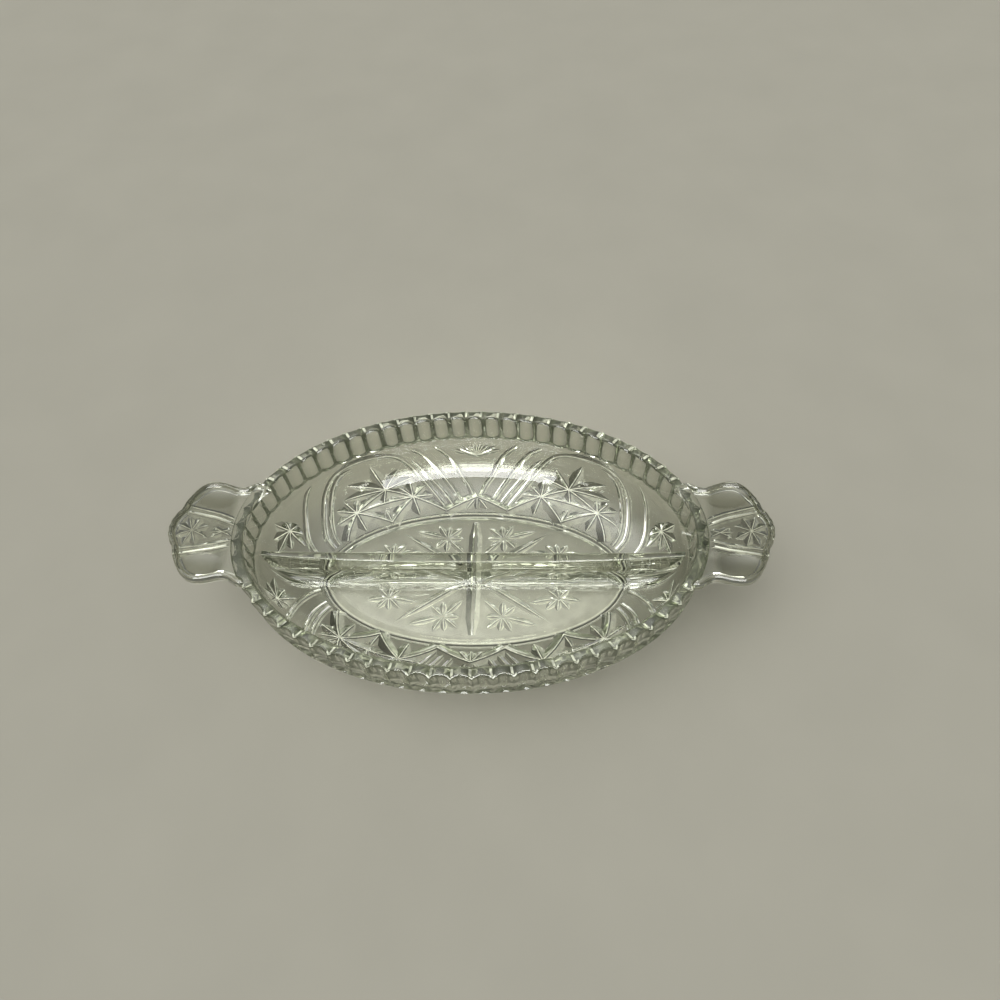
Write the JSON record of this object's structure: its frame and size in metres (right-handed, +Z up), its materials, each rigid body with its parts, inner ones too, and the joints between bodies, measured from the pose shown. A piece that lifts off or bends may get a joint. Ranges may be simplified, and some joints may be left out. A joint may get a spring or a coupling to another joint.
{
  "type": "relish tray",
  "caption": "Oval pressed-glass relish tray, split lengthways by a low divider, with a fluted band, a scalloped rim, a cut star pattern and a flat fan handle at each end.",
  "frame": {"origin": "under the middle of the foot ring, on the surface that the tray stands on", "axes": "+X along the long axis, through both handles; +Y across the tray; +Z up"},
  "size_m": [0.2396, 0.1212, 0.0475],
  "materials": {
    "glass": "clear pressed glass with a faint grey-green tint"
  },
  "bodies": {
    "root": {"base_floor": "glass", "foot_ring": "glass", "star_wall": "glass", "flute_band": "glass", "scalloped_rim": "glass", "divider": "glass", "handle_left": "glass", "handle_right": "glass"}
  },
  "joints": []
}
